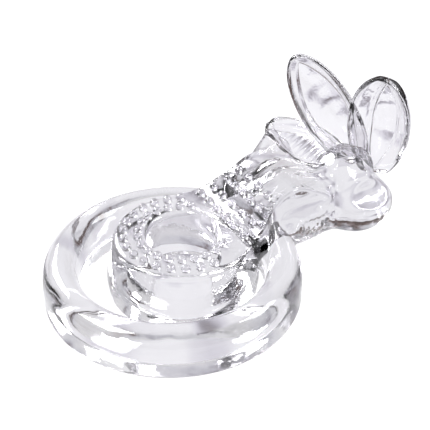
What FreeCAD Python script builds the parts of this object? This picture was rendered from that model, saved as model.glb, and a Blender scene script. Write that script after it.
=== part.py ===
import FreeCAD, Part
import math
import os
import Sketcher

# A clear one-piece elastomer moulding, split at its natural boundaries.
# Frame: origin on the small ring's bore axis at the resting plane, +X along the arm, +Z up.

# Driving dimensions in millimetres and degrees. Each name is the alias of a sheet cell.
DIMENSIONS = {
    # large loop
    "loop_centre_x": -2.5,
    "loop_inner_radius": 19.7,
    "loop_outer_radius": 27.5,
    "loop_wall_height": 4.4,
    "loop_height": 10.0,
    "bridge_half_width": 8.0,
    "flex_gap": 0.5,
    # small ring
    "bore_radius": 7.5,
    "ring_foot_radius": 16.3,
    "ring_top_radius": 14.5,
    "ring_shoulder_radius": 13.7,
    "ring_shoulder_height": 13.2,
    "ring_height": 14.0,
    "bore_lead_radius": 8.1,
    "bore_lead_height": 13.4,
    # arm: four stations along X, each with its half widths and its lower and upper levels
    "arm_x_a": 8.3, "arm_low_half_a": 12.2, "arm_top_half_a": 12.0,
    "arm_low_a": 9.5, "arm_top_a": 14.6,
    "arm_x_b": 12.6, "arm_low_half_b": 11.2, "arm_top_half_b": 11.0,
    "arm_low_b": 9.8, "arm_top_b": 17.0,
    "arm_x_c": 17.0, "arm_low_half_c": 8.6, "arm_top_half_c": 8.8,
    "arm_low_c": 11.2, "arm_top_c": 20.6,
    "arm_x_d": 20.5, "arm_low_half_d": 8.2, "arm_top_half_d": 8.6,
    "arm_low_d": 11.2, "arm_top_d": 22.2,
    "web_start_x": 15.0,
    "web_half_width": 7.2,
    "web_low": 5.0,
    "web_top": 12.0,
    # neck ball, which turns in the arm's seat
    "neck_x": 22.5,
    "neck_z": 15.9,
    "neck_ball_radius": 5.2,
    "seat_gap": 0.35,
    # calyx: four round stations along X
    "calyx_x_a": 24.6, "calyx_y_a": 0.0, "calyx_z_a": 15.4, "calyx_radius_a": 4.8,
    "calyx_x_b": 29.6, "calyx_y_b": 0.6, "calyx_z_b": 13.2, "calyx_radius_b": 8.8,
    "calyx_x_c": 34.0, "calyx_y_c": 0.3, "calyx_z_c": 12.6, "calyx_radius_c": 7.8,
    "calyx_x_d": 38.6, "calyx_y_d": 0.0, "calyx_z_d": 15.0, "calyx_radius_d": 4.6,
    # bud and lower lobe
    "bud_x": 42.0, "bud_y": 0.0, "bud_z": 16.0, "bud_radius": 6.3,
    "lobe_x": 43.0, "lobe_y": -6.0, "lobe_z": 8.8,
    "lobe_radius_x": 7.0, "lobe_radius_y": 6.4, "lobe_radius_z": 5.8,
    # petals
    "petal_gap": 0.9,
    "petal_wall": 2.0,
    "petal_rim_rise": 0.6,
    # nubs
    "nub_radius": 0.95,
    "nub_height": 1.5,
    "inner_row_radius": 9.4,
    "outer_row_radius": 12.4,
    "nub_row_margin": 1.2,
}

# Rows of nubs on the small ring: first angle, last angle and step, in degrees round the bore.
RING_NUB_ROWS = {"inner": (48, 312, 16), "outer": (62, 272, 14)}

# Rows of nubs across the arm: distance along X, half the row's width, and how many stand in it.
ARM_NUB_ROWS = ((9.8, 8.8, 6), (12.4, 7.8, 5), (15.0, 6.2, 5), (17.6, 5.4, 4))

# Each petal: root, tip and the direction its hollow side faces, then half width and bowl depth.
PETALS = {
    "petal_upright": ((44.5, -2.0, 17.5), (36.2, 14.2, 39.8), (-0.62, -0.55, 0.45), 6.0, 4.2),
    "petal_right": ((46.2, -3.6, 15.0), (47.4, -3.8, 39.2), (-0.75, -0.35, 0.40), 7.4, 5.0),
    "petal_left": ((41.5, -1.0, 16.8), (34.6, 20.2, 20.0), (0.0, -0.10, 1.0), 6.6, 4.2),
}

SHEET = "Sizes"


def make_sheet(doc):
    """Put every driving dimension in a cell of its own, with its name as the alias."""
    sheet = doc.addObject("Spreadsheet::Sheet", SHEET)
    for row, (name, value) in enumerate(DIMENSIONS.items(), start=1):
        sheet.set("A%d" % row, name)
        sheet.set("B%d" % row, str(value))
        sheet.setAlias("B%d" % row, name)
    doc.recompute()
    return sheet


def cell(name):
    """The expression that reads one driving dimension."""
    return "%s.%s" % (SHEET, name)


def bind(obj, **sizes):
    """Bind properties of one object to expressions."""
    for name, expression in sizes.items():
        obj.setExpression(name, expression)


def bind_place(obj, x, y, z):
    """Bind the place of one object to three expressions."""
    obj.setExpression("Placement.Base.x", x)
    obj.setExpression("Placement.Base.y", y)
    obj.setExpression("Placement.Base.z", z)


def new_sketch(body, name, role, offset=None):
    """A sketch on one of the body's own origin planes, moved along its normal by an expression."""
    plane = [item for item in body.Origin.OriginFeatures if item.Role == role][0]
    sketch = body.newObject("Sketcher::SketchObject", name)
    sketch.AttachmentSupport = [(plane, "")]
    sketch.MapMode = "FlatFace"
    if offset:
        sketch.setExpression("AttachmentOffset.Base.z", offset)
    return sketch


def pin_point(sketch, geometry, end, name, across, up):
    """Hold one sketch point at a bound distance from the sketch's origin, both ways."""
    for kind, label, expression in (("DistanceX", "across", across), ("DistanceY", "up", up)):
        axis_line = -2 if kind == "DistanceX" else -1
        if expression == "0":
            sketch.addConstraint(Sketcher.Constraint("PointOnObject", geometry, end, axis_line))
            continue
        index = sketch.addConstraint(Sketcher.Constraint(kind, -1, 1, geometry, end, 1.0))
        sketch.renameConstraint(index, "%s_%s" % (name, label))
        sketch.setExpression("Constraints.%s_%s" % (name, label), expression)


def value_of(sheet, expression):
    """The number that an expression of cells, signs and plain sums gives now."""
    if expression == "0":
        return 0.0
    sign = -1.0 if expression.startswith("-") else 1.0
    return sign * float(sheet.get(expression.lstrip("-").split(".")[1]))


def add_polygon(sketch, sheet, points):
    """Closed outline of straight lines whose corners are bound to the sheet."""
    places = []
    for across, up in points:
        places.append(FreeCAD.Vector(value_of(sheet, across), value_of(sheet, up), 0))
    count = len(places)
    for index in range(count):
        sketch.addGeometry(Part.LineSegment(places[index], places[(index + 1) % count]), False)
    for index in range(count):
        after = (index + 1) % count
        sketch.addConstraint(Sketcher.Constraint("Coincident", index, 2, after, 1))
    for index, (across, up) in enumerate(points):
        pin_point(sketch, index, 1, "corner%d" % index, across, up)


def add_revolution(body, sketch, name):
    """Turn a profile once round the sketch's vertical axis."""
    turned = body.newObject("PartDesign::Revolution", name)
    turned.Profile = sketch
    turned.ReferenceAxis = (sketch, ["V_Axis"])
    turned.Angle = 360.0
    sketch.Visibility = False
    return turned


def make_loop(doc, sheet):
    """The whole large loop: flat foot, upright walls and a dome that is half an ellipse."""
    body = doc.addObject("PartDesign::Body", "LoopBody")
    sketch = new_sketch(body, "LoopProfile", "XZ_Plane")
    inner = value_of(sheet, cell("loop_inner_radius"))
    outer = value_of(sheet, cell("loop_outer_radius"))
    wall = value_of(sheet, cell("loop_wall_height"))
    top = value_of(sheet, cell("loop_height"))
    middle = (inner + outer) / 2
    corners = [
        FreeCAD.Vector(inner, wall, 0),
        FreeCAD.Vector(inner, 0, 0),
        FreeCAD.Vector(outer, 0, 0),
        FreeCAD.Vector(outer, wall, 0),
    ]
    for start, end in zip(corners, corners[1:]):
        sketch.addGeometry(Part.LineSegment(start, end), False)
    crown = Part.Ellipse(
        FreeCAD.Vector(middle, top, 0),
        FreeCAD.Vector(inner, wall, 0),
        FreeCAD.Vector(middle, wall, 0),
    )
    dome = sketch.addGeometry(Part.ArcOfEllipse(crown, -math.pi / 2, math.pi / 2), False)
    sketch.exposeInternalGeometry(dome)
    long_axis = dome + 1
    sketch.addConstraint(Sketcher.Constraint("Coincident", 0, 2, 1, 1))
    sketch.addConstraint(Sketcher.Constraint("Coincident", 1, 2, 2, 1))
    sketch.addConstraint(Sketcher.Constraint("Coincident", 2, 2, dome, 1))
    sketch.addConstraint(Sketcher.Constraint("Coincident", 0, 1, dome, 2))
    sketch.addConstraint(Sketcher.Constraint("Vertical", long_axis))
    for index, end, name, across, up in (
        (1, 1, "foot_inner", cell("loop_inner_radius"), "0"),
        (1, 2, "foot_outer", cell("loop_outer_radius"), "0"),
        (0, 1, "wall_inner", cell("loop_inner_radius"), cell("loop_wall_height")),
        (2, 2, "wall_outer", cell("loop_outer_radius"), cell("loop_wall_height")),
    ):
        pin_point(sketch, index, end, name, across, up)
    centre = sketch.addConstraint(Sketcher.Constraint("DistanceY", -1, 1, dome, 3, wall))
    sketch.renameConstraint(centre, "dome_centre")
    sketch.setExpression("Constraints.dome_centre", cell("loop_wall_height"))
    length = sketch.addConstraint(Sketcher.Constraint("Distance", long_axis, 2 * (top - wall)))
    sketch.renameConstraint(length, "dome_length")
    rise = "2 * (%s - %s)" % (cell("loop_height"), cell("loop_wall_height"))
    sketch.setExpression("Constraints.dome_length", rise)
    add_revolution(body, sketch, "LoopTurned")
    body.setExpression("Placement.Base.x", cell("loop_centre_x"))
    return body


def add_box(doc, name, low, size):
    """A box whose lowest corner and size are bound."""
    box = doc.addObject("Part::Box", name)
    bind(box, Length=size[0], Width=size[1], Height=size[2])
    bind_place(box, *low)
    return box


def combine(doc, kind, name, base, tool):
    """A boolean of two objects: Cut, Common or Fuse."""
    result = doc.addObject("Part::" + kind, name)
    result.Base = base
    result.Tool = tool
    return result


def split_loop(doc, loop):
    """The free loop and the short bridge that stays inside the arm, with a gap between them."""
    half = cell("bridge_half_width")
    depth = cell("loop_height")
    span = cell("loop_outer_radius")
    opening = add_box(
        doc, "LoopOpening",
        ("0", "-%s" % half, "-1"),
        (span, "2 * %s" % half, "%s + 2" % depth),
    )
    inner_half = "(%s - %s)" % (half, cell("flex_gap"))
    kept = add_box(
        doc, "BridgeEnvelope",
        ("0", "-%s" % inner_half, "-1"),
        (span, "2 * %s" % inner_half, "%s + 2" % depth),
    )
    return {
        "large_loop": combine(doc, "Cut", "LargeLoop", loop, opening),
        "loop_bridge": combine(doc, "Common", "LoopBridge", loop, kept),
    }


def make_small_ring(doc, sheet):
    """The small ring: a tapered wall round a straight bore, with eased upper edges."""
    body = doc.addObject("PartDesign::Body", "SmallRing")
    sketch = new_sketch(body, "SmallRingProfile", "XZ_Plane")
    add_polygon(sketch, sheet, [
        (cell("bore_radius"), "0"),
        (cell("ring_foot_radius"), "0"),
        (cell("ring_top_radius"), cell("ring_shoulder_height")),
        (cell("ring_shoulder_radius"), cell("ring_height")),
        (cell("bore_lead_radius"), cell("ring_height")),
        (cell("bore_radius"), cell("bore_lead_height")),
    ])
    add_revolution(body, sketch, "SmallRingTurned")
    return body


def make_arm(doc, sheet, small_ring, bridge):
    """The rising arm: a lofted slab and a web below it, cut to fit the ring, bridge and ball."""
    body = doc.addObject("PartDesign::Body", "ArmSlab")
    sections = []
    for mark in "abcd":
        low_half = cell("arm_low_half_" + mark)
        top_half = cell("arm_top_half_" + mark)
        low = cell("arm_low_" + mark)
        top = cell("arm_top_" + mark)
        sketch = new_sketch(body, "ArmSection" + mark.upper(), "YZ_Plane", cell("arm_x_" + mark))
        add_polygon(sketch, sheet, [
            ("-" + low_half, low), (low_half, low), (top_half, top), ("-" + top_half, top),
        ])
        sections.append(sketch)
    loft = body.newObject("PartDesign::AdditiveLoft", "ArmLoft")
    loft.Profile = sections[0]
    loft.Sections = sections[1:]
    loft.Ruled = True
    web = add_box(
        doc, "ArmWeb",
        (cell("web_start_x"), "-" + cell("web_half_width"), cell("web_low")),
        (
            "%s - %s" % (cell("arm_x_d"), cell("web_start_x")),
            "2 * " + cell("web_half_width"),
            "%s - %s" % (cell("web_top"), cell("web_low")),
        ),
    )
    seat = doc.addObject("Part::Sphere", "NeckSeat")
    bind(seat, Radius="%s + %s" % (cell("neck_ball_radius"), cell("seat_gap")))
    bind_place(seat, cell("neck_x"), "0", cell("neck_z"))
    solid = combine(doc, "Fuse", "ArmWithWeb", body, web)
    for name, tool in (("ArmOverRing", small_ring), ("ArmOverBridge", bridge), ("Arm", seat)):
        solid = combine(doc, "Cut", name, solid, tool)
    return solid


def make_calyx_loft(doc, sheet, name, growth):
    """The flared body behind the flower, through round stations; growth widens every station."""
    body = doc.addObject("PartDesign::Body", name)
    sections = []
    for mark in "abcd":
        centre_y = cell("calyx_y_" + mark)
        centre_z = cell("calyx_z_" + mark)
        radius = cell("calyx_radius_" + mark)
        if value_of(sheet, centre_y) == 0.0:
            centre_y = "0"
        sketch = new_sketch(body, name + mark.upper(), "YZ_Plane", cell("calyx_x_" + mark))
        centre = FreeCAD.Vector(value_of(sheet, centre_y), value_of(sheet, centre_z), 0)
        start = value_of(sheet, radius)
        sketch.addGeometry(Part.Circle(centre, FreeCAD.Vector(0, 0, 1), start), False)
        pin_point(sketch, 0, 3, "centre", centre_y, centre_z)
        index = sketch.addConstraint(Sketcher.Constraint("Radius", 0, start))
        sketch.renameConstraint(index, "radius")
        sketch.setExpression("Constraints.radius", "%s + %s" % (radius, growth))
        sections.append(sketch)
    loft = body.newObject("PartDesign::AdditiveLoft", name + "Loft")
    loft.Profile = sections[0]
    loft.Sections = sections[1:]
    return body


def add_ball(doc, name, place, radii):
    """An ellipsoid from bound half axes along X, Y and Z."""
    ball = doc.addObject("Part::Ellipsoid", name)
    bind(ball, Radius2=radii[0], Radius3=radii[1], Radius1=radii[2])
    bind_place(ball, *place)
    return ball


def make_head(doc, sheet):
    """The neck with its ball and calyx, the round bud and the thick lower lobe."""
    ball = doc.addObject("Part::Sphere", "NeckBall")
    bind(ball, Radius=cell("neck_ball_radius"))
    bind_place(ball, cell("neck_x"), "0", cell("neck_z"))
    calyx = make_calyx_loft(doc, sheet, "Calyx", "0")
    neck = combine(doc, "Fuse", "Neck", ball, calyx)
    bud_place = [cell("bud_" + axis) for axis in "xyz"]
    lobe_place = [cell("lobe_" + axis) for axis in "xyz"]
    bud_full = add_ball(doc, "BudFull", bud_place, [cell("bud_radius")] * 3)
    lobe_full = add_ball(doc, "LobeFull", lobe_place, [cell("lobe_radius_" + axis) for axis in "xyz"])
    bud = combine(doc, "Cut", "Bud", bud_full, neck)
    lobe_behind = combine(doc, "Cut", "LobeOffNeck", lobe_full, neck)
    lobe = combine(doc, "Cut", "Lobe", lobe_behind, bud_full)
    return {"neck": neck, "bud": bud, "lower_lobe": lobe}


def head_clearance(doc, sheet):
    """A slightly larger copy of bud, lobe and calyx, which keeps the petals clear of them."""
    gap = cell("petal_gap")
    bud_place = [cell("bud_" + axis) for axis in "xyz"]
    lobe_place = [cell("lobe_" + axis) for axis in "xyz"]
    bud = add_ball(doc, "BudRoom", bud_place, ["%s + %s" % (cell("bud_radius"), gap)] * 3)
    lobe_radii = ["%s + %s" % (cell("lobe_radius_" + axis), gap) for axis in "xyz"]
    lobe = add_ball(doc, "LobeRoom", lobe_place, lobe_radii)
    calyx = make_calyx_loft(doc, sheet, "CalyxRoom", gap)
    return combine(doc, "Fuse", "HeadRoom", combine(doc, "Fuse", "RoundRoom", bud, lobe), calyx)


def petal_frame(root, tip, face):
    """Placement of a petal: local X from root to tip, local Z towards the hollow side."""
    along = (tip - root).normalize()
    normal = face - along * face.dot(along)
    normal.normalize()
    across = normal.cross(along)
    turn = FreeCAD.Rotation(along, across, normal, "XYZ")
    return FreeCAD.Placement((root + tip) * 0.5, turn)


def make_petal(doc, label, shape, room):
    """A spoon-shaped petal: half an ellipsoid hollowed by a smaller one, trimmed off the head."""
    root = FreeCAD.Vector(*shape[0])
    tip = FreeCAD.Vector(*shape[1])
    half_length = (tip - root).Length / 2
    half_width = shape[3]
    depth = shape[4]
    wall = cell("petal_wall")
    rise = cell("petal_rim_rise")
    name = label.title().replace("_", "")
    placement = petal_frame(root, tip, FreeCAD.Vector(*shape[2]))
    outer = doc.addObject("Part::Ellipsoid", name + "Outer")
    bind(outer, Radius2="%.3f" % half_length, Radius3="%.3f" % half_width, Radius1="%.3f" % depth)
    hollow = doc.addObject("Part::Ellipsoid", name + "Hollow")
    bind(
        hollow,
        Radius2="%.3f - 0.9 * %s" % (half_length, wall),
        Radius3="%.3f - 0.9 * %s" % (half_width, wall),
        Radius1="%.3f - %s + %s" % (depth, wall, rise),
    )
    hollow.setExpression("Placement.Base.z", rise)
    lid = doc.addObject("Part::Box", name + "Lid")
    bind(lid, Length="%.3f" % (2 * half_length + 2), Width="%.3f" % (2 * half_width + 2))
    bind(lid, Height="%.3f" % depth)
    bind_place(lid, "-%.3f" % (half_length + 1), "-%.3f" % (half_width + 1), rise)
    shell = combine(doc, "Cut", name + "Shell", outer, hollow)
    bowl = combine(doc, "Cut", name + "Bowl", shell, lid)
    bowl.Placement = placement
    return combine(doc, "Cut", name, bowl, room)


def petal_room(doc, shape):
    """An ellipsoid a little larger than a petal, which keeps its neighbour clear of it."""
    gap = cell("petal_gap")
    root = FreeCAD.Vector(*shape[0])
    tip = FreeCAD.Vector(*shape[1])
    room = doc.addObject("Part::Ellipsoid", "PetalRoom")
    bind(
        room,
        Radius2="%.3f + %s" % ((tip - root).Length / 2, gap),
        Radius3="%.3f + %s" % (shape[3], gap),
        Radius1="%.3f + %s" % (shape[4], gap),
    )
    room.Placement = petal_frame(root, tip, FreeCAD.Vector(*shape[2]))
    return room


def arm_top_height(sheet, along_x):
    """Height of the arm's sloping top at one distance along X, straight between stations."""
    marks = "abcd"
    for before, after in zip(marks, marks[1:]):
        start = value_of(sheet, cell("arm_x_" + before))
        end = value_of(sheet, cell("arm_x_" + after))
        if along_x <= end:
            low = value_of(sheet, cell("arm_top_" + before))
            high = value_of(sheet, cell("arm_top_" + after))
            return low + (high - low) * (along_x - start) / (end - start)
    return value_of(sheet, cell("arm_top_d"))


def ring_nub_places(sheet):
    """Centres of the nubs on the small ring: an inner row and a part row outside it."""
    level = value_of(sheet, cell("ring_height"))
    last_x = value_of(sheet, cell("arm_x_a")) - value_of(sheet, cell("nub_row_margin"))
    places = []
    for row, (first, last, step) in RING_NUB_ROWS.items():
        radius = value_of(sheet, cell(row + "_row_radius"))
        for angle in range(first, last + 1, step):
            x = radius * math.cos(math.radians(angle))
            y = radius * math.sin(math.radians(angle))
            if x < last_x:
                places.append(FreeCAD.Vector(x, y, level))
    return places


def arm_nub_places(sheet):
    """Centres of the nubs on the arm: staggered rows across its sloping top."""
    places = []
    for x, reach, count in ARM_NUB_ROWS:
        for step in range(count):
            y = reach * (2.0 * step / (count - 1) - 1.0)
            places.append(FreeCAD.Vector(x, y, arm_top_height(sheet, x)))
    return places


def make_nubs(doc, name, places, ground):
    """A group of equal rounded nubs, trimmed to sit on the surface under them."""
    nubs = []
    for index, place in enumerate(places):
        nub = doc.addObject("Part::Ellipsoid", "%sNub%d" % (name, index))
        bind(nub, Radius1=cell("nub_height"), Radius2=cell("nub_radius"), Radius3=cell("nub_radius"))
        nub.Placement.Base = place
        nubs.append(nub)
    group = doc.addObject("Part::Compound", name + "Group")
    group.Links = nubs
    return combine(doc, "Cut", name, group, ground)


def check_and_export(doc, pieces):
    """Stop on any failed object, then write each piece as a STEP file named by its label."""
    doc.recompute()
    for item in doc.Objects:
        faults = [state for state in item.State if state in ("Invalid", "Error")]
        if faults:
            raise RuntimeError("%s failed: %s" % (item.Name, faults))
    for label, item in pieces.items():
        item.Label = label
        if item.Shape.isNull() or not item.Shape.isValid():
            raise RuntimeError("%s has no valid shape" % label)
    os.makedirs("parts", exist_ok=True)
    for label, item in pieces.items():
        solids = item.Shape.Solids
        shape = solids[0] if len(solids) == 1 else Part.makeCompound(solids)
        shape.exportStep(os.path.join("parts", label + ".step"))
        box = shape.optimalBoundingBox(False)
        print("%-14s %2d solids %8.1f mm3  x %.1f..%.1f  y %.1f..%.1f  z %.1f..%.1f" % (
            label, len(solids), shape.Volume,
            box.XMin, box.XMax, box.YMin, box.YMax, box.ZMin, box.ZMax,
        ))


def main():
    doc = FreeCAD.newDocument("double_ring")
    sheet = make_sheet(doc)
    pieces = split_loop(doc, make_loop(doc, sheet))
    pieces["small_ring"] = make_small_ring(doc, sheet)
    pieces["arm"] = make_arm(doc, sheet, pieces["small_ring"], pieces["loop_bridge"])
    pieces.update(make_head(doc, sheet))
    room = head_clearance(doc, sheet)
    shared = petal_room(doc, PETALS["petal_upright"])
    for label, shape in PETALS.items():
        behind = combine(doc, "Fuse", "RightRoom", room, shared) if label == "petal_right" else room
        pieces[label] = make_petal(doc, label, shape, behind)
    ring = pieces["small_ring"]
    pieces["ring_nubs"] = make_nubs(doc, "RingNubs", ring_nub_places(sheet), ring)
    ground = combine(doc, "Fuse", "NubGround", pieces["arm"], ring)
    pieces["arm_nubs"] = make_nubs(doc, "ArmNubs", arm_nub_places(sheet), ground)
    check_and_export(doc, pieces)


main()
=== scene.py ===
"""Looks of a clear elastomer double ring with a nubbed arm and a petal head, round its CAD frame.

Shapes are worked out in millimetres in the frame's own axes and put into meshes in metres.
"""

import logging
from dataclasses import dataclass
from enum import Enum
from typing import Callable, Sequence

import bpy
import numpy as np
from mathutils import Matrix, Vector


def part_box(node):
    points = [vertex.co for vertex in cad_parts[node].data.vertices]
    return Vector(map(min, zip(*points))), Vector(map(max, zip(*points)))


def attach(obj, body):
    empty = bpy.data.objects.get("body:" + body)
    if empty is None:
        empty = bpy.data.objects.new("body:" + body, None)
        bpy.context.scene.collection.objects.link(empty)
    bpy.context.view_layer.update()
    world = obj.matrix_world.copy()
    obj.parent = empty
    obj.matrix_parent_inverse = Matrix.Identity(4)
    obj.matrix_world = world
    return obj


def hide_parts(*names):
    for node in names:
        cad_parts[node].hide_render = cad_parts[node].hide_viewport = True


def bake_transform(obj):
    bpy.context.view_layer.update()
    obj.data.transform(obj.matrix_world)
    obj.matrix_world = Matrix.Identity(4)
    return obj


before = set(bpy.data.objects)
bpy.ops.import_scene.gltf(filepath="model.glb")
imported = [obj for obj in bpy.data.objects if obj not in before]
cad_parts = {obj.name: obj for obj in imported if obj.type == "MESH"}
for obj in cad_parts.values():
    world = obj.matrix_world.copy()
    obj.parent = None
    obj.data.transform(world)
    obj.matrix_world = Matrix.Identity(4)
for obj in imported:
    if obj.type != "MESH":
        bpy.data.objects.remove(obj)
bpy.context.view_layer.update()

LOG = logging.getLogger("double_ring")
MM = 0.001
LEAST_STEEPNESS = 0.05  # keeps a move finite where a field is nearly flat
Field = Callable[[np.ndarray], np.ndarray]


class Part(Enum):
    """The CAD bodies that pieces ride on."""

    FIXED = "ring_and_arm"
    LOOP = "loop"
    HEAD = "head"
    UPPER_PETALS = "upper_petals"
    LEFT_PETAL = "left_petal"


# ---------------------------------------------------------------- small maths


def node_box(node: str) -> tuple[np.ndarray, np.ndarray]:
    """Lowest and highest corner of a CAD node, in millimetres."""
    low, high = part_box(node)
    return np.array(low) / MM, np.array(high) / MM


def unit(vector: Sequence[float]) -> np.ndarray:
    """The vector at length one."""
    vector = np.asarray(vector, float)
    return vector / np.linalg.norm(vector)


def through(x: np.ndarray, stations: Sequence[float], values: Sequence[float]) -> np.ndarray:
    """Smooth curve through stations: cubic pieces whose slopes are those of the neighbours.

    Args:
        x: where to read the curve; outside the stations it stays level.
        stations: rising positions.
        values: the curve's value at each station.

    Returns:
        The curve's value at each x.
    """
    place = np.asarray(stations, float)
    value = np.asarray(values, float)
    slope = np.gradient(value, place)
    x = np.clip(x, place[0], place[-1])
    index = np.clip(np.searchsorted(place, x) - 1, 0, len(place) - 2)
    width = place[index + 1] - place[index]
    t = (x - place[index]) / width
    rise = value[index] * (1 + 2 * t) * (1 - t) ** 2 + value[index + 1] * t * t * (3 - 2 * t)
    lean = width * (slope[index] * t * (1 - t) ** 2 - slope[index + 1] * t * t * (1 - t))
    return rise + lean


def smooth_step(share: np.ndarray) -> np.ndarray:
    """Ease from 0 to 1, level at both ends: the share squared, times 3 less twice the share."""
    share = np.clip(share, 0, 1)
    return share * share * (3 - 2 * share)


def soft_min(a: np.ndarray, b: np.ndarray, fillet: float) -> np.ndarray:
    """The lesser of two fields, eased over a band so that two solids join with a fillet.

    Args:
        a: the first solid's field.
        b: the second solid's field.
        fillet: width of the band, in millimetres.

    Returns:
        The lesser field, less the overlap squared times a quarter of the fillet.
    """
    overlap = np.maximum(fillet - np.abs(a - b), 0.0) / fillet
    return np.minimum(a, b) - overlap * overlap * fillet / 4


def soft_max(a: np.ndarray, b: np.ndarray, round_over: float) -> np.ndarray:
    """The greater of two fields, eased over a band so that an edge is rounded."""
    return -soft_min(-a, -b, round_over)


# ---------------------------------------------------------------- meshes


def make_piece(
    name: str, points: np.ndarray, faces: list[list[int]], normals: np.ndarray | None = None
) -> bpy.types.Object:
    """A smooth mesh object at the origin from points in millimetres.

    Args:
        name: the piece's name.
        points: vertex places, one row each.
        faces: vertex indices of each face; triangles and quads may stand together.
        normals: surface normals at the vertices, where they are known exactly.

    Returns:
        The new object.
    """
    mesh = bpy.data.meshes.new(name)
    mesh.from_pydata((points * MM).tolist(), [], faces)
    mesh.polygons.foreach_set("use_smooth", np.ones(len(mesh.polygons), bool))
    if normals is not None:
        mesh.normals_split_custom_set_from_vertices(normals.tolist())
    mesh.update()
    piece = bpy.data.objects.new(name, mesh)
    bpy.context.scene.collection.objects.link(piece)
    return piece


def wrap_grid(rows: int, columns: int, joined: bool = False) -> np.ndarray:
    """Quads of a grid of points that closes on itself along its columns.

    Args:
        rows: number of rows.
        columns: number of points in a row.
        joined: whether the last row also joins the first, as round a ring.

    Returns:
        Four vertex indices a row.
    """
    row = np.arange(rows if joined else rows - 1)[:, None] * columns
    next_row = (row + columns) % (rows * columns)
    column = np.arange(columns)[None, :]
    after = (column + 1) % columns
    corners = np.stack(
        [row + column, row + after, next_row + after, next_row + column], -1
    )
    return corners.reshape(-1, 4)


def capped_tube(grid: np.ndarray) -> tuple[np.ndarray, list[list[int]]]:
    """Close a tube of point rings whose first and last rings have shrunk to single points.

    Args:
        grid: points by row, column and axis; rows 0 and -1 are each one repeated point.

    Returns:
        Points and faces of the closed surface, with one vertex at each pole.
    """
    rows, columns = grid.shape[:2]
    body = grid[1:-1].reshape(-1, 3)
    points = np.concatenate([body, grid[:1, 0], grid[-1:, 0]])
    faces = wrap_grid(rows - 2, columns).tolist()
    first = len(body)
    last = first + 1
    end_row = (rows - 3) * columns
    column = np.arange(columns)
    after = (column + 1) % columns
    start_cap = np.stack([np.full(columns, first), after, column], -1)
    end_cap = np.stack([np.full(columns, last), end_row + column, end_row + after], -1)
    return points, faces + start_cap.tolist() + end_cap.tolist()


def slope_of(field: Field, points: np.ndarray, reach: float = 0.02) -> np.ndarray:
    """Slope of a field at points, by central differences over a small reach."""
    slope = np.empty_like(points)
    for axis in range(3):
        step = np.zeros(3)
        step[axis] = reach
        slope[:, axis] = (field(points + step) - field(points - step)) / (2 * reach)
    return slope


def drop_onto(field: Field, points: np.ndarray, rounds: int = 4, stride: float = 0.4) -> np.ndarray:
    """Move points along the field's slope until they lie on its zero surface.

    Args:
        field: the solid's field.
        points: places near its surface, one row each.
        rounds: how many moves to make.
        stride: the most of the field that one move may take up.

    Returns:
        The moved points.
    """
    for _ in range(rounds):
        slope = slope_of(field, points)
        steep = np.maximum((slope * slope).sum(1), LEAST_STEEPNESS)
        points = points - slope * (np.clip(field(points), -stride, stride) / steep)[:, None]
    return points


def cells_round(place: np.ndarray, axis: int) -> list[tuple[np.ndarray, ...]]:
    """The four grid cells round each edge along an axis, in order round it, as array indices."""
    first, second = [k for k in range(3) if k != axis]
    cells = []
    for a, b in ((0, 0), (1, 0), (1, 1), (0, 1)):
        cell = place.copy()
        cell[:, first] -= a
        cell[:, second] -= b
        cells.append(tuple(cell.T))
    return cells


def skin_of(
    field: Field, low: Sequence[float], high: Sequence[float], step: float
) -> tuple[np.ndarray, np.ndarray, np.ndarray]:
    """Closed skin of a solid given by a field that is negative inside it.

    Each grid cell that the zero surface crosses gets one vertex, at the mean of the crossings on
    its edges. Each grid edge that is crossed gets one quad, between the four cells round it. The
    vertices are then moved onto the zero surface.

    Args:
        field: the solid's field, for an array of points in millimetres.
        low: lowest corner of the space to search.
        high: highest corner of it.
        step: the grid's pitch.

    Returns:
        Vertices, quads that face outwards, and the exact normals at the vertices.
    """
    axes = [np.arange(a, b + step, step) for a, b in zip(low, high)]
    shape = tuple(len(axis) for axis in axes)
    corners = np.stack(np.meshgrid(*axes, indexing="ij"), -1).reshape(-1, 3)
    level = field(corners).reshape(shape)
    inside = level < 0
    total = np.zeros(tuple(n - 1 for n in shape) + (3,))
    count = np.zeros(tuple(n - 1 for n in shape))
    crossings = []
    for axis in range(3):
        first = [slice(None)] * 3
        second = [slice(None)] * 3
        first[axis] = slice(0, -1)
        second[axis] = slice(1, None)
        near = level[tuple(first)]
        far = level[tuple(second)]
        place = np.argwhere((near < 0) != (far < 0))
        at = tuple(place.T)
        share = near[at] / (near[at] - far[at])
        point = np.stack([axes[k][place[:, k]] for k in range(3)], -1)
        point[:, axis] += share * step
        cells = cells_round(place, axis)
        crossings.append((axis, cells, inside[tuple(first)][at]))
        for cell in cells:
            np.add.at(total, cell, point)
            np.add.at(count, cell, 1)
    used = np.argwhere(count > 0)
    number = np.full(count.shape, -1)
    number[tuple(used.T)] = np.arange(len(used))
    vertices = total[tuple(used.T)] / count[tuple(used.T)][:, None]
    quads = []
    for axis, cells, starts_inside in crossings:
        quad = np.stack([number[cell] for cell in cells], -1)
        forward = starts_inside if axis != 1 else ~starts_inside
        quad[~forward] = quad[~forward][:, ::-1]
        quads.append(quad)
    vertices = drop_onto(field, vertices)
    slope = slope_of(field, vertices)
    normals = slope / np.maximum(np.linalg.norm(slope, axis=1), 1e-9)[:, None]
    return vertices, np.concatenate(quads), normals


# ---------------------------------------------------------------- finishes


def linear(code: str) -> tuple[float, float, float, float]:
    """A colour's linear value from its sRGB hex code."""
    parts = np.array([int(code[i:i + 2], 16) for i in (1, 3, 5)]) / 255
    value = np.where(parts <= 0.04045, parts / 12.92, ((parts + 0.055) / 1.055) ** 2.4)
    return (float(value[0]), float(value[1]), float(value[2]), 1.0)


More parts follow.
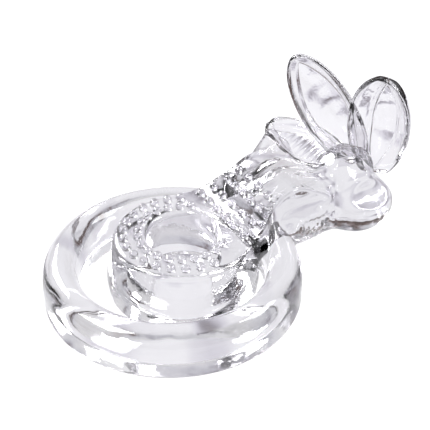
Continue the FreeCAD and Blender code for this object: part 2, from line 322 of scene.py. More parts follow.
def add_node(
    tree: bpy.types.NodeTree, kind: str, settings: dict | None = None, links: dict | None = None
) -> bpy.types.Node:
    """Add a node, set its properties and socket values, and link its inputs.

    Args:
        tree: the node tree.
        kind: the node's type name.
        settings: property names, or input names written "in:Name", with their values.
        links: input names with the output sockets that feed them.

    Returns:
        The new node.
    """
    node = tree.nodes.new(kind)
    for name, value in (settings or {}).items():
        if name.startswith("in:"):
            node.inputs[name[3:]].default_value = value
        else:
            setattr(node, name, value)
    for name, socket in (links or {}).items():
        tree.links.new(socket, node.inputs[name])
    return node


def new_material(name: str) -> tuple[bpy.types.Material, bpy.types.Node]:
    """A material with an empty principled shader joined to its output."""
    material = bpy.data.materials.new(name)
    material.use_nodes = True
    tree = material.node_tree
    tree.nodes.clear()
    shader = add_node(tree, "ShaderNodeBsdfPrincipled")
    add_node(tree, "ShaderNodeOutputMaterial", links={"Surface": shader.outputs["BSDF"]})
    return material, shader


def add_ramp(
    tree: bpy.types.NodeTree, level: bpy.types.NodeSocket, stops: Sequence[tuple[float, str]]
) -> bpy.types.NodeSocket:
    """Turn a level into a colour.

    Args:
        tree: the node tree.
        level: the socket to read.
        stops: rising positions with the hex code of the colour there.

    Returns:
        The colour's socket.
    """
    ramp = add_node(tree, "ShaderNodeValToRGB", links={"Fac": level})
    elements = ramp.color_ramp.elements
    for element, (position, colour) in zip(elements, (stops[0], stops[-1])):
        element.position = position
        element.color = linear(colour)
    for position, colour in stops[1:-1]:
        elements.new(position).color = linear(colour)
    return ramp.outputs["Color"]


@dataclass(frozen=True)
class PatchedBoard:
    """Matt board of pale and grey patches: the soft grey marks seen through the elastomer."""

    name: str = "patched_reflector_board"
    patch_mm: float = 20.0
    glow: float = 1.12
    stops: tuple[tuple[float, str], ...] = (
        (0.30, "#5A4036"), (0.355, "#A09CA4"), (0.42, "#DCDAE2"), (0.50, "#FAFAFC"),
    )

    def make(self) -> bpy.types.Material:
        """Build the material: the patches glow by their own colour."""
        material, shader = new_material(self.name)
        tree = material.node_tree
        shader.inputs["Base Color"].default_value = linear("#000000")
        shader.inputs["Roughness"].default_value = 1.0
        shader.inputs["Specular IOR Level"].default_value = 0.0
        place = add_node(tree, "ShaderNodeTexCoord").outputs["Object"]
        patches = add_node(
            tree, "ShaderNodeTexNoise",
            {"in:Scale": 1 / (self.patch_mm * MM), "in:Detail": 2.5, "in:Roughness": 0.55},
            {"Vector": place},
        )
        colour = add_ramp(tree, patches.outputs["Fac"], self.stops)
        tree.links.new(colour, shader.inputs["Emission Color"])
        shader.inputs["Emission Strength"].default_value = self.glow
        return material


@dataclass(frozen=True)
class MouldedClearElastomer:
    """Clear styrenic elastomer as it leaves a polished mould: glossy, soft-edged, faintly grey.

    It darkens with depth, so thick walls read greyer than petals and nubs. Its slow ripple bends
    the light behind it, so that lines and patches seen through it waver. The short hairlines are
    the handling marks that a soft clear surface picks up, and the flow lines fan out from a
    ring's middle.
    """

    name: str = "moulded_clear_tpe"
    colour: str = "#F2F1F4"
    depth_colour: str = "#8E8D93"
    depth_density: float = 15.0
    ior: float = 1.46
    roughness: float = 0.012
    ripple_mm: float = 4.2
    ripple_depth_mm: float = 0.11
    ripple_detail: float = 3.0
    hairline_mm: float = 0.8
    hairline_depth_mm: float = 0.004
    hairline_turn: tuple[float, float, float] = (0.4, 0.9, 0.6)
    hairline_stretch: tuple[float, float, float] = (1.0, 0.06, 0.06)
    dull_band: tuple[float, float] = (0.54, 0.74)
    dulling: float = 0.10
    flow_centre_mm: float | None = None
    flow_lines: float = 42.0
    flow_depth_mm: float = 0.006

    def make(self) -> bpy.types.Material:
        """Build the material from its real sizes."""
        material, shader = new_material(self.name)
        tree = material.node_tree
        shader.inputs["Base Color"].default_value = linear(self.colour)
        shader.inputs["Transmission Weight"].default_value = 1.0
        shader.inputs["IOR"].default_value = self.ior
        place = add_node(tree, "ShaderNodeTexCoord").outputs["Object"]
        ripple = add_node(
            tree, "ShaderNodeTexNoise",
            {
                "in:Scale": 1 / (self.ripple_mm * MM), "in:Detail": self.ripple_detail,
                "in:Roughness": 0.5,
            },
            {"Vector": place},
        )
        turned = add_node(
            tree, "ShaderNodeMapping",
            {"in:Rotation": self.hairline_turn, "in:Scale": self.hairline_stretch},
            {"Vector": place},
        )
        hairlines = add_node(
            tree, "ShaderNodeTexNoise",
            {"in:Scale": 1 / (self.hairline_mm * MM), "in:Detail": 3.0, "in:Roughness": 0.6},
            {"Vector": turned.outputs["Vector"]},
        )
        dull = add_node(
            tree, "ShaderNodeMapRange",
            {
                "in:From Min": self.dull_band[0], "in:From Max": self.dull_band[1],
                "in:To Min": self.roughness, "in:To Max": self.roughness + self.dulling,
            },
            {"Value": hairlines.outputs["Fac"]},
        )
        relief = add_node(
            tree, "ShaderNodeBump",
            {"in:Distance": self.ripple_depth_mm * MM, "in:Strength": 1.0},
            {"Height": ripple.outputs["Fac"]},
        ).outputs["Normal"]
        if self.flow_centre_mm is not None:
            relief = self.flow(tree, place, relief)
        fine = add_node(
            tree, "ShaderNodeBump",
            {"in:Distance": self.hairline_depth_mm * MM, "in:Strength": 1.0},
            {"Height": hairlines.outputs["Fac"], "Normal": relief},
        )
        tree.links.new(dull.outputs["Result"], shader.inputs["Roughness"])
        tree.links.new(fine.outputs["Normal"], shader.inputs["Normal"])
        depth = add_node(
            tree, "ShaderNodeVolumeAbsorption",
            {"in:Color": linear(self.depth_colour), "in:Density": self.depth_density},
        )
        output = next(node for node in tree.nodes if node.type == "OUTPUT_MATERIAL")
        tree.links.new(depth.outputs["Volume"], output.inputs["Volume"])
        return material

    def flow(
        self, tree: bpy.types.NodeTree, place: bpy.types.NodeSocket, relief: bpy.types.NodeSocket
    ) -> bpy.types.NodeSocket:
        """Lay faint radial flow lines over the relief: noise read along the angle alone.

        Args:
            tree: the material's node tree.
            place: the object's own coordinates.
            relief: the normal of the relief so far.

        Returns:
            The normal with the flow lines laid on.
        """
        split = add_node(tree, "ShaderNodeSeparateXYZ", links={"Vector": place})
        across = add_node(
            tree, "ShaderNodeMath", {"operation": "SUBTRACT"}, {0: split.outputs["X"]}
        )
        across.inputs[1].default_value = self.flow_centre_mm * MM
        turn = add_node(
            tree, "ShaderNodeMath", {"operation": "ARCTAN2"},
            {0: split.outputs["Y"], 1: across.outputs[0]},
        )
        lines = add_node(
            tree, "ShaderNodeTexNoise",
            {"noise_dimensions": "1D", "in:Scale": self.flow_lines, "in:Detail": 2.0},
            {"W": turn.outputs[0]},
        )
        laid = add_node(
            tree, "ShaderNodeBump",
            {"in:Distance": self.flow_depth_mm * MM, "in:Strength": 1.0},
            {"Height": lines.outputs["Fac"], "Normal": relief},
        )
        return laid.outputs["Normal"]


@dataclass(frozen=True)
class WhitePaper:
    """Matt white paper lit from below as on a light table, so it carries next to no shadow."""

    name: str = "white_backlit_paper"
    colour: str = "#505052"
    glow: float = 0.97
    grain_mm: float = 1.5
    grain_depth_mm: float = 0.02

    def make(self) -> bpy.types.Material:
        """Build the material."""
        material, shader = new_material(self.name)
        tree = material.node_tree
        shader.inputs["Base Color"].default_value = linear(self.colour)
        shader.inputs["Roughness"].default_value = 0.9
        shader.inputs["Specular IOR Level"].default_value = 0.1
        shader.inputs["Emission Color"].default_value = linear("#FFFFFF")
        shader.inputs["Emission Strength"].default_value = self.glow
        place = add_node(tree, "ShaderNodeTexCoord").outputs["Object"]
        grain = add_node(
            tree, "ShaderNodeTexNoise", {"in:Scale": 1 / (self.grain_mm * MM)}, {"Vector": place}
        )
        bump = add_node(
            tree, "ShaderNodeBump",
            {"in:Distance": self.grain_depth_mm * MM},
            {"Height": grain.outputs["Fac"]},
        )
        tree.links.new(bump.outputs["Normal"], shader.inputs["Normal"])
        return material


def dress(piece: bpy.types.Object, material: bpy.types.Material) -> None:
    """Give a piece its material."""
    piece.data.materials.clear()
    piece.data.materials.append(material)


# ---------------------------------------------------------------- large loop


@dataclass
class LargeLoop:
    """The large stretch loop: flat foot, upright walls, a crease, and a domed crown."""

    crown_power: float = 2.2
    wall_height: float = 4.4
    wall_width: float = 7.8
    foot_round: float = 0.7
    turns: int = 288
    corner_steps: int = 7
    crown_steps: int = 57
    foot_steps: int = 9
    wall_steps: int = 8

    def __post_init__(self) -> None:
        """Read the loop's place and size from its CAD node."""
        low, high = node_box("large_loop")
        self.height = high[2]
        self.outer = (high[1] - low[1]) / 2
        self.centre_x = low[0] + self.outer
        self.half_wall = self.wall_width / 2
        self.middle = self.outer - self.half_wall
        self.crown = self.height - self.wall_height

    def profile(self) -> tuple[np.ndarray, np.ndarray]:
        """Closed section of the loop, from the inner foot round the outside and over the crown.

        The foot's corners are quarter circles, the walls are straight, and the crown is a
        superellipse: across to its power plus height to its power is one.

        Returns:
            Distance from the loop's own middle line, and height.
        """
        bend = np.linspace(0, np.pi / 2, self.corner_steps)
        sweep = np.linspace(0, np.pi, self.crown_steps)[1:-1]
        reach = np.abs(np.cos(sweep)) ** (2 / self.crown_power) * np.sign(np.cos(sweep))
        rise = np.sin(sweep) ** (2 / self.crown_power)
        corner = self.half_wall - self.foot_round
        flat = np.linspace(-corner, corner, self.foot_steps)[1:-1]
        wall = np.linspace(self.foot_round, self.wall_height, self.wall_steps)[1:]
        across = np.concatenate([
            flat,
            corner + self.foot_round * np.sin(bend),
            np.full(len(wall), self.half_wall),
            reach * self.half_wall,
            np.full(len(wall), -self.half_wall),
            -corner - self.foot_round * np.cos(bend),
        ])
        height = np.concatenate([
            np.zeros(len(flat)),
            self.foot_round * (1 - np.cos(bend)),
            wall,
            self.wall_height + rise * self.crown,
            wall[::-1],
            self.foot_round * (1 - np.sin(bend)),
        ])
        return across, height

    def field(self, points: np.ndarray) -> np.ndarray:
        """Field of the loop, near its true distance at the surface and negative inside it.

        Above the walls the crown's level is the root of (across to its power plus height to its
        power); the level less one, over the level's slope, is close to a distance.
        """
        radius = np.hypot(points[:, 0] - self.centre_x, points[:, 1])
        across = np.abs(radius - self.middle)
        height = points[:, 2]
        u = np.maximum(across / self.half_wall, 1e-6)
        v = np.maximum((height - self.wall_height) / self.crown, 1e-6)
        power = self.crown_power
        rho = (u ** power + v ** power) ** (1 / power)
        steep = rho ** (1 - power) * np.hypot(
            u ** (power - 1) / self.half_wall, v ** (power - 1) / self.crown
        )
        dome = (rho - 1) / np.maximum(steep, 1e-3)
        wall = across - self.half_wall
        return np.maximum(np.where(height > self.wall_height, dome, wall), -height)

    def build(self) -> bpy.types.Object:
        """Carry the section once round the loop's centre line."""
        across, height = self.profile()
        turn = np.linspace(0, 2 * np.pi, self.turns, endpoint=False)[:, None]
        radius = self.middle + across[None, :]
        grid = np.stack([
            self.centre_x + radius * np.cos(turn),
            radius * np.sin(turn),
            np.broadcast_to(height, (self.turns, len(height))),
        ], -1)
        faces = wrap_grid(self.turns, len(across), joined=True)[:, ::-1]
        return make_piece("large_loop_skin", grid.reshape(-1, 3), faces.tolist())

    def dress(self, piece: bpy.types.Object, material: bpy.types.Material) -> None:
        """Give the loop its finish, hide its CAD nodes and bake its transform into its mesh."""
        dress(piece, material)
        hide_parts("large_loop", "loop_bridge")
        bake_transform(piece)


# ---------------------------------------------------------------- ring, arm and head


@dataclass
class RingArmHead:
    """Small ring, rising arm, calyx, bud and lower lobe as one flowing skin."""

    loop: LargeLoop
    pitch: float = 0.34
    seam_lap: float = 0.07
    low: tuple[float, float, float] = (-17.3, -17.3, -0.75)
    high: tuple[float, float, float] = (51.0, 18.7, 24.0)

    bore: float = 7.5
    bore_round: float = 0.4
    ring_round: float = 1.3
    ring_levels: tuple[float, ...] = (0.0, 4.0, 9.0)
    ring_insets: tuple[float, ...] = (0.5, 0.1, 0.9, 1.8)

    flat_depth: float = 0.95
    facet_levels: tuple[tuple[float, int, float], ...] = (
        (-0.1, 6, 0.2), (0.55, 5, 0.5), (0.95, 2, 0.9),
    )
    lobe_radii: tuple[float, float, float] = (8.2, 6.5, 6.0)
    lobe_inset: tuple[float, float, float] = (0.3, 0.2, 1.5)
    spoon_radius: float = 7.0
    spoon_offset: tuple[float, float, float] = (1.2, -7.6, 8.2)
    spoon_stretch: tuple[float, float, float] = (1.9, 1.0, 0.9)

    arm_fillet: float = 2.6
    calyx_fillet: float = 2.4
    flare_fillet: float = 2.6
    lobe_fillet: float = 4.0
    flower_fillet: float = 3.0

    rib_depth: float = 0.17
    rib_pitch: float = 1.5
    flute_depth: float = 0.34
    flutes: int = 11

    arm_x: tuple[float, ...] = (4.0, 8.3, 12.6, 17.0, 20.5, 24.5, 29.0, 34.5)
    arm_top: tuple[float, ...] = (13.3, 14.5, 16.9, 20.2, 21.9, 21.7, 19.0, 15.0)
    arm_half: tuple[float, ...] = (13.2, 12.1, 11.0, 8.9, 8.3, 8.0, 7.4, 6.2)
    arm_low: tuple[float, ...] = (8.8, 8.8, 8.6, 6.6, 5.6, 5.3, 5.6, 7.0)
    arm_side_lean: float = 0.11
    arm_side_reach: float = 14.0
    arm_crown: float = 0.0036
    arm_top_scale: float = 0.84
    arm_low_scale: float = 0.95
    arm_edge_round: float = 0.7
    arm_low_round: float = 1.2
    arm_end_round: float = 1.5

    wings: tuple[tuple[tuple[float, ...], tuple[float, ...], float, float], ...] = (
        ((21.8, 5.0, 17.9), (32.6, 16.3, 19.3), 4.1, 1.5),
        ((27.0, 3.0, 15.4), (33.4, 13.4, 17.4), 4.6, 2.0),
    )

    calyx_x: tuple[float, ...] = (21.0, 25.0, 29.5, 34.0, 39.0)
    calyx_y: tuple[float, ...] = (0.0, 0.2, 0.4, 0.0, -0.6)
    calyx_z: tuple[float, ...] = (14.2, 12.9, 11.8, 11.4, 13.0)
    calyx_radius: tuple[float, ...] = (7.2, 7.6, 7.7, 7.2, 6.4)

    def __post_init__(self) -> None:
        """Read the round parts' places and sizes from their CAD nodes."""
        low, high = node_box("small_ring")
        self.ring_height = high[2]
        self.ring_foot = high[0]
        bud_low, bud_high = node_box("bud")
        self.bud_radius = (bud_high[1] - bud_low[1]) / 2
        self.bud = np.array([bud_high[0] - self.bud_radius, 0.0, bud_high[2] - self.bud_radius])
        lobe_low, lobe_high = node_box("lower_lobe")
        self.lobe = np.array([
            lobe_high[0] - self.lobe_radii[0] - self.lobe_inset[0],
            lobe_low[1] + self.lobe_radii[1] + self.lobe_inset[1],
            lobe_low[2] + self.lobe_radii[2] + self.lobe_inset[2],
        ])

    def small_ring(self, points: np.ndarray) -> np.ndarray:
        """The ring: a wall between the bore and a slightly barrelled outside, flat top and foot."""
        radius = np.hypot(points[:, 0], points[:, 1])
        height = points[:, 2]
        reach = [self.ring_foot - inset for inset in self.ring_insets]
        outer = through(height, (*self.ring_levels, self.ring_height), reach)
        wall = soft_max(radius - outer, self.bore - radius, self.bore_round)
        ends = np.maximum(-height, height - self.ring_height)
        return soft_max(wall, ends, self.ring_round)

    def arm(self, points: np.ndarray) -> np.ndarray:
        """The arm: a slab whose top, underside and half width are smooth curves along X.

        Its sides lean outwards going down, and its top is crowned by the square of Y. The top
        and underside slope along X, so their heights are scaled to be nearer true distances.
        """
        x = points[:, 0]
        top = through(x, self.arm_x, self.arm_top)
        low = through(x, self.arm_x, self.arm_low)
        half = through(x, self.arm_x, self.arm_half)
        drop = np.clip(top - points[:, 2], 0.0, self.arm_side_reach)
        side = np.abs(points[:, 1]) - half + self.arm_side_lean * drop
        crown = (points[:, 2] - top) * self.arm_top_scale + self.arm_crown * points[:, 1] ** 2
        slab = soft_max(side, crown, self.arm_edge_round)
        slab = soft_max(slab, (low - points[:, 2]) * self.arm_low_scale, self.arm_low_round)
        end = self.arm_end_round
        ends = np.maximum(self.arm_x[1] - end - x, x - self.arm_x[-1] + end)
        return soft_max(slab, ends, end)

    def calyx(self, points: np.ndarray) -> np.ndarray:
        """The flared body behind the flower: a round tube, fluted along and ribbed underneath."""
        x = points[:, 0]
        y = points[:, 1] - through(x, self.calyx_x, self.calyx_y)
        z = points[:, 2] - through(x, self.calyx_x, self.calyx_z)
        radius = through(x, self.calyx_x, self.calyx_radius)
        fade = np.clip((x - 23.0) / 4.0, 0, 1) * np.clip((38.0 - x) / 4.0, 0, 1)
        flute = self.flute_depth * fade * np.cos(self.flutes * np.arctan2(z, y))
        under = np.clip((-0.55 * y - 0.83 * z) / radius * 2.2 - 0.9, 0, 1)
        span = np.clip((x - 24.5) / 1.5, 0, 1) * np.clip((32.5 - x) / 1.5, 0, 1)
        ribs = self.rib_depth * under * span * np.cos(2 * np.pi * (x + 0.3 * y) / self.rib_pitch)
        tube = (np.hypot(y, z) - radius - flute - ribs) * 0.9
        ends = np.maximum(self.calyx_x[0] - x, x - self.calyx_x[-1])
        return soft_max(tube, ends, 2.5)

    def flare(self, points: np.ndarray) -> np.ndarray:
        """The flare under the flat petal: cones with round ends that narrow to their tips."""
        whole = np.full(len(points), 99.0)
        for root, tip, wide, narrow in self.wings:
            along = np.array(tip) - root
            share = np.clip((points - root) @ along / along.dot(along), 0, 1)
            reach = np.linalg.norm(points - root - share[:, None] * along, axis=1)
            whole = soft_min(whole, (reach - wide - (narrow - wide) * share) * 0.95, 2.0)
        return whole

    def faceted_bud(self, points: np.ndarray) -> np.ndarray:
        """The bud: a ball with flats pressed a little way into it, round three levels."""
        away = points - self.bud
        ball = np.linalg.norm(away, axis=1) - self.bud_radius
        for rise, count, turn in self.facet_levels:
            level = np.sqrt(1 - rise * rise)
            for index in range(count):
                angle = turn + 2 * np.pi * index / count
                facing = np.array([level * np.cos(angle), level * np.sin(angle), rise])
                ball = np.maximum(ball, away @ facing - self.bud_radius + self.flat_depth)
        return ball

    def field(self, points: np.ndarray) -> np.ndarray:
        """All of the skin's solids joined with fillets, less the loop's own space."""
        bud = self.faceted_bud(points)
        scaled = (points - self.lobe) / self.lobe_radii
        reach = np.linalg.norm(scaled, axis=1)
        steep = np.linalg.norm(scaled / self.lobe_radii, axis=1) / np.maximum(reach, 1e-6)
        lobe = (reach - 1) / np.maximum(steep, 1e-3)
        spoon = (points - self.lobe - self.spoon_offset) / self.spoon_stretch
        lobe = soft_max(lobe, self.spoon_radius - np.linalg.norm(spoon, axis=1), 0.5)
        solid = soft_min(self.small_ring(points), self.arm(points), self.arm_fillet)
        solid = soft_min(solid, self.calyx(points), self.calyx_fillet)
        solid = soft_min(solid, self.flare(points), self.flare_fillet)
        flower = soft_min(bud, lobe, self.lobe_fillet)
        solid = soft_min(solid, flower, self.flower_fillet)
        clear_bore = self.bore - np.hypot(points[:, 0], points[:, 1])
        solid = np.maximum(solid, clear_bore)
        return np.maximum(solid, -(self.loop.field(points) + self.seam_lap))

    def build(self) -> bpy.types.Object:
        """Skin the joined solids."""
        points, quads, normals = skin_of(self.field, self.low, self.high, self.pitch)
        return make_piece("ring_arm_head_skin", points, quads.tolist(), normals)

    def dress(self, piece: bpy.types.Object, material: bpy.types.Material) -> None:
        """Give the skin its finish, hide the CAD parts it stands for and bake its transform into
        its mesh.
        """
        dress(piece, material)
        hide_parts("small_ring", "arm", "neck", "bud", "lower_lobe")
        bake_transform(piece)


# ---------------------------------------------------------------- nubs


@dataclass
class Nubs:
    """Small rounded pegs in rows on the small ring and up the arm."""

    skin: RingArmHead
    radius: float = 0.95
    height: float = 1.35
    sunk: float = 0.12
    inner_row: float = 9.4
    inner_angles: tuple[int, int, int] = (48, 313, 16)
    outer_row: float = 12.4
    outer_angles: tuple[int, int, int] = (62, 273, 14)
    arm_edge: float = 7.1
    arm_rows: tuple[tuple[float, float, int], ...] = (
        (9.8, 8.8, 6), (12.4, 7.8, 5), (15.0, 6.2, 5), (17.6, 5.4, 4),
    )
    crown_share: float = 0.62
    sides: int = 20

    def ring_places(self) -> np.ndarray:
        """An inner row and a part row outside it, at even angles round the bore."""
        inner = np.radians(np.arange(*self.inner_angles))
        outer = np.radians(np.arange(*self.outer_angles))
        turn = np.concatenate([inner, outer])
        reach = np.concatenate([
            np.full(len(inner), self.inner_row), np.full(len(outer), self.outer_row)
        ])
        places = np.stack([
            reach * np.cos(turn), reach * np.sin(turn), np.full(len(turn), self.skin.ring_height)
        ], -1)
        return places[places[:, 0] < self.arm_edge]

    def arm_places(self) -> np.ndarray:
        """Staggered rows across the arm's sloping top."""
        places = []
        for x, reach, count in self.arm_rows:
            y = np.linspace(-reach, reach, count)
            top = through(np.full(count, x), self.skin.arm_x, self.skin.arm_top)
            places.append(np.stack([np.full(count, x), y, top], -1))
        return np.concatenate(places)

    def build(self, name: str, places: np.ndarray) -> bpy.types.Object:
        """Turn one peg's profile about the surface normal at each place.

        The profile runs up a straight side and over a superellipse crown; both ends close on
        the peg's own axis.

        Args:
            name: the piece's name.
            places: points near the skin, one for each peg.

        Returns:
            One object with all the pegs, each a closed surface.
        """
        places = drop_onto(self.skin.field, places, 6)
        normal = slope_of(self.skin.field, places)
        normal /= np.linalg.norm(normal, axis=1)[:, None]
        side = np.cross(normal, (0.31, 0.95, 0.05))
        side /= np.linalg.norm(side, axis=1)[:, None]
        other = np.cross(normal, side)
        arc = np.linspace(0, np.pi / 2, 9)
        crown = self.height * self.crown_share
        reach = np.concatenate([[0, 0.9], [1.0], np.cos(arc) ** 0.85]) * self.radius
        rise = np.concatenate([
            [-self.sunk, -self.sunk], [0.12], self.height - crown + crown * np.sin(arc) ** 0.9
        ])
        reach[-1] = 0.0
        turn = np.linspace(0, 2 * np.pi, self.sides, endpoint=False)
        all_points = []
        all_faces: list[list[int]] = []
        for centre, up, u, v in zip(places, normal, side, other):
            ring = np.cos(turn)[:, None] * u + np.sin(turn)[:, None] * v
            grid = centre + rise[:, None, None] * up + reach[:, None, None] * ring[None]
            points, faces = capped_tube(grid)
            offset = sum(len(group) for group in all_points)
            all_points.append(points)
            all_faces += [[index + offset for index in face] for face in faces]
        return make_piece(name, np.concatenate(all_points), all_faces)

    def dress(self, piece: bpy.types.Object, material: bpy.types.Material, node: str) -> None:
        """Give a group of pegs its finish; it stays with the ring and arm."""
        dress(piece, material)
        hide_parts(node)
        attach(piece, Part.FIXED.value)


# ---------------------------------------------------------------- petals


@dataclass
class Petal:
    """A spoon-shaped petal: thick rounded rim, thinner hollow, and a bowed back."""

    name: str
    node: str
    body: Part
    root: tuple[float, float, float]
    tip: tuple[float, float, float]
    face: tuple[float, float, float]
    half_width: float
    depth: float
    start: float = 0.12
    peak: float = 0.5
    point: float = 0.5
    rim: float = 1.9
    hollow: float = 1.1
    hollow_reach: float = 0.72
    ripple: float = 0.07
    ripples: float = 6.0
    root_closing: float = 0.06
    root_ease: float = 0.45
    edge_band: float = 0.16
    hollow_span: float = 0.86
    hollow_edge: float = 0.10
    bow: float = 0.35
    rows: int = 160
    columns: int = 128

    def build(self) -> bpy.types.Object:
        """Surface over two parameters: along from root to tip, and round the section.

        Half width along is an ellipse, drawn towards the tip or root by its peak. The middle
        sheet sinks by depth times (one less across squared) times the ellipse, and less so near
        the root, which keeps the root inside the bud. Thickness falls from the rim to the hollow
        by a smooth step, and the section's ends are round. Low waves cross the hollow, as
        polishing leaves them in the mould.
        """
        root = np.array(self.root)
        tip = np.array(self.tip)
        length = np.linalg.norm(tip - root)
        along = unit(tip - root)
        facing = np.array(self.face)
        normal = unit(facing - along * facing.dot(along))
        across = np.cross(normal, along)
        ease = (1 - np.cos(np.linspace(0, np.pi, self.rows))) / 2
        u = self.start + (1 - self.start) * ease
        shifted = u ** (np.log(0.5) / np.log(self.peak))
        oval = np.clip(1 - (2 * shifted - 1) ** 2, 0, 1) ** self.point
        closing = np.clip(ease / self.root_closing, 0, 1)
        oval = oval * (closing * (2 - closing))
        turn = np.linspace(0, 2 * np.pi, self.columns, endpoint=False)
        v = np.cos(turn)[None, :] * np.ones((self.rows, 1))
        body = np.clip((1 - np.abs(v)) / self.edge_band, 0, 1)
        edge = np.sqrt(np.clip(1 - (1 - body) ** 2, 0, 1))
        lengthwise = np.clip(1 - ((2 * u - 1) / self.hollow_span) ** 2, 0, 1)[:, None] ** 0.5
        dish = smooth_step((self.hollow_reach * lengthwise - np.abs(v)) / self.hollow_edge + 0.5)
        thick = (self.rim + (self.hollow - self.rim) * dish) * edge
        thick = thick * np.clip(oval * 3.0, 0, 1)[:, None] ** 0.7
        rooted = smooth_step(u / self.root_ease)
        sag = self.depth * (1 - v * v) * (rooted * oval ** 1.5)[:, None]
        upper = np.where(np.sin(turn) >= 0, 1.0, -1.0)[None, :]
        lift = np.where(upper > 0, 0.5 - self.bow * dish, -0.5) * thick
        waves = np.sin(2 * np.pi * self.ripples * (u[:, None] + 0.12 * v * v) + 2.0 * v)
        lift = lift + np.where(upper > 0, self.ripple * dish * waves, 0.0)
        points = (
            root
            + (u[:, None] * length)[..., None] * along
            + (v * oval[:, None] * self.half_width)[..., None] * across
            + (lift - sag)[..., None] * normal
        )
        points[0] = points[0].mean(0)
        points[-1] = points[-1].mean(0)
        vertices, faces = capped_tube(points)
        return make_piece(self.name, vertices, faces)

    def dress(self, piece: bpy.types.Object, material: bpy.types.Material) -> None:
        """Give the petal its finish and its body."""
        dress(piece, material)
        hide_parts(self.node)
        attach(piece, self.body.value)


PETALS = (
    Petal(
        "petal_upright_skin", "petal_upright", Part.UPPER_PETALS,
        (44.5, -2.0, 17.5), (36.2, 14.2, 39.6), (-0.62, -0.55, 0.45), 6.0, 3.0,
        start=0.02, peak=0.50, point=0.52, rim=2.5, hollow=1.2, hollow_reach=0.72, ripples=5.0,
    ),
    Petal(
        "petal_right_skin", "petal_right", Part.UPPER_PETALS,
        (46.2, -3.6, 15.0), (47.4, -3.8, 39.2), (-0.75, -0.35, 0.40), 7.4, 3.9,
        start=0.06, peak=0.53, rim=2.5, hollow=1.1, hollow_reach=0.46, ripples=4.0,
    ),
    Petal(
        "petal_left_skin", "petal_left", Part.LEFT_PETAL,
        (40.2, -2.2, 18.6), (34.2, 19.8, 20.4), (-0.12, -0.16, 1.0), 6.2, 3.4,
        start=0.14, peak=0.50, rim=2.1, hollow=1.0, hollow_reach=0.74, ripple=0.08, ripples=15.0,
    ),
)


# ---------------------------------------------------------------- studio


@dataclass(frozen=True)
class SoftBox:
    """A square soft box: where it hangs and how wide and bright it is."""

    name: str
    place: tuple[float, float, float]
    size: float
    watts: float


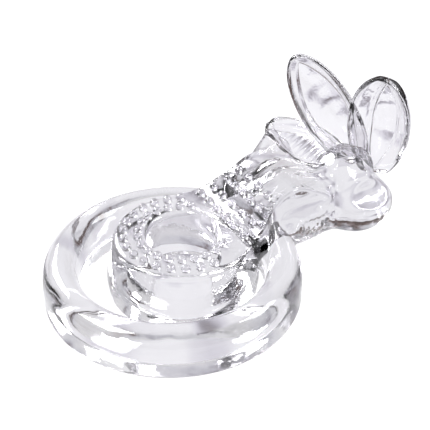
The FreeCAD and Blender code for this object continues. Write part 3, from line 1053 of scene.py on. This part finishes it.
@dataclass
class Studio:
    """Camera, paper sweep, soft boxes and the pale surround."""

    eye: tuple[float, float, float] = (-88.4, -162.2, 150.8)
    heading: float = 30.70
    tilt: float = 35.57
    lens: float = 92.1767
    sensor: float = 36.0
    paper_half: float = 330.0
    paper_level: float = -0.02
    board_level: float = -0.30
    aim: tuple[float, float, float] = (10.0, 0.0, 10.0)
    soft_boxes: tuple[SoftBox, ...] = (
        SoftBox("key_box", (-330, 60, 380), 260, 4.5),
        SoftBox("fill_box", (330, -180, 360), 220, 2.2),
        SoftBox("strip_box", (-60, 420, 300), 200, 3.0),
    )
    patch_scale: float = 2.3
    ramp_stops: tuple[tuple[float, str], ...] = (
        (0.36, "#5C4A45"), (0.41, "#8A7A76"), (0.46, "#C2C0C8"), (0.53, "#ECEDF1"),
        (0.66, "#FFFFFF"),
    )

    def camera(self) -> None:
        """The camera at the viewing angle, with no shift and no depth of field."""
        data = bpy.data.cameras.new("camera")
        data.sensor_width = self.sensor
        data.lens = self.lens
        data.clip_start = 0.01
        data.clip_end = 20.0
        camera = bpy.data.objects.new("camera", data)
        camera.location = Vector(self.eye) * MM
        camera.rotation_euler = (
            np.radians(90 - self.tilt), 0.0, -np.radians(self.heading)
        )
        bpy.context.scene.collection.objects.link(camera)
        bpy.context.scene.camera = camera

    def sheet(self, name: str, level: float, material: bpy.types.Material) -> bpy.types.Object:
        """A wide flat staged sheet at a level in millimetres."""
        half = self.paper_half
        points = np.array([
            (-half, -half, level), (half, -half, level), (half, half, level), (-half, half, level)
        ])
        piece = make_piece(name, points, [[0, 1, 2, 3]])
        piece.data.materials.append(material)
        return piece

    def floor(self) -> None:
        """White paper that the camera sees, over a patched board that only bent rays see."""
        paper = self.sheet("paper_floor", self.paper_level, WhitePaper().make())
        board = self.sheet("reflector_board", self.board_level, PatchedBoard().make())
        paper.visible_transmission = False
        paper.visible_glossy = False
        board.visible_camera = False

    def light(self, box: SoftBox) -> None:
        """Hang a soft box so that it looks at the object."""
        data = bpy.data.lights.new(box.name, "AREA")
        data.shape = "SQUARE"
        data.size = box.size * MM
        data.energy = box.watts
        lamp = bpy.data.objects.new(box.name, data)
        lamp.location = Vector(box.place) * MM
        gaze = Vector(self.aim) * MM - lamp.location
        lamp.rotation_euler = gaze.to_track_quat("-Z", "Y").to_euler()
        bpy.context.scene.collection.objects.link(lamp)

    def surround(self) -> None:
        """Room light: pale overhead, with dark and pale patches lower down.

        The camera sees plain white. Only rays that the elastomer bends or reflects find the
        darker lower room and its patches, which darken the elastomer's lines and edges.
        """
        world = bpy.data.worlds.new("studio")
        bpy.context.scene.world = world
        world.use_nodes = True
        tree = world.node_tree
        tree.nodes.clear()
        way = add_node(tree, "ShaderNodeTexCoord").outputs["Generated"]
        split = add_node(tree, "ShaderNodeSeparateXYZ", links={"Vector": way})
        overhead = add_node(
            tree, "ShaderNodeMapRange",
            {
                "interpolation_type": "SMOOTHSTEP",
                "in:From Min": -0.10, "in:From Max": 0.75, "in:To Min": -0.19, "in:To Max": 0.15,
            },
            {"Value": split.outputs["Z"]},
        )
        patches = add_node(
            tree, "ShaderNodeTexNoise",
            {"in:Scale": self.patch_scale, "in:Detail": 2.0, "in:Roughness": 0.5},
            {"Vector": way},
        )
        level = add_node(
            tree, "ShaderNodeMath", {"operation": "ADD"},
            {0: patches.outputs["Fac"], 1: overhead.outputs["Result"]},
        )
        patched = add_ramp(tree, level.outputs[0], self.ramp_stops)
        seen = add_node(tree, "ShaderNodeLightPath").outputs["Is Camera Ray"]
        colour = add_node(
            tree, "ShaderNodeMixRGB", {"in:Color2": (1.0, 1.0, 1.0, 1.0)},
            {"Fac": seen, "Color1": patched},
        )
        glow = add_node(
            tree, "ShaderNodeBackground", {"in:Strength": 1.0}, {"Color": colour.outputs["Color"]}
        )
        add_node(tree, "ShaderNodeOutputWorld", links={"Surface": glow.outputs["Background"]})

    def build(self) -> None:
        """Set the whole stage."""
        self.camera()
        self.floor()
        for box in self.soft_boxes:
            self.light(box)
        self.surround()
        view = bpy.context.scene.view_settings
        view.view_transform = "Standard"
        view.look = "None"
        view.exposure = 0.0


def main() -> None:
    """Build the stage and every piece in order, and log each one."""
    logging.basicConfig(level=logging.INFO, format="%(name)s: %(message)s")
    Studio().build()
    clear = MouldedClearElastomer().make()
    loop = LargeLoop()
    flowing = MouldedClearElastomer(
        "moulded_clear_tpe_flow_lines", ripple_mm=5.0, ripple_depth_mm=0.09, ripple_detail=1.2,
        flow_centre_mm=loop.centre_x,
    )
    piece = loop.build()
    loop.dress(piece, flowing.make())
    LOG.info("large loop: %d faces", len(piece.data.polygons))
    skin = RingArmHead(loop)
    piece = skin.build()
    skin.dress(piece, clear)
    LOG.info("ring, arm and head: %d faces", len(piece.data.polygons))
    nubs = Nubs(skin)
    for node, places in (("ring_nubs", nubs.ring_places()), ("arm_nubs", nubs.arm_places())):
        piece = nubs.build(node + "_skin", places)
        nubs.dress(piece, clear, node)
        LOG.info("%s: %d pegs", node, len(places))
    for petal in PETALS:
        piece = petal.build()
        petal.dress(piece, clear)
        LOG.info("%s: %d faces", petal.name, len(piece.data.polygons))


if __name__ == "__main__":
    main()
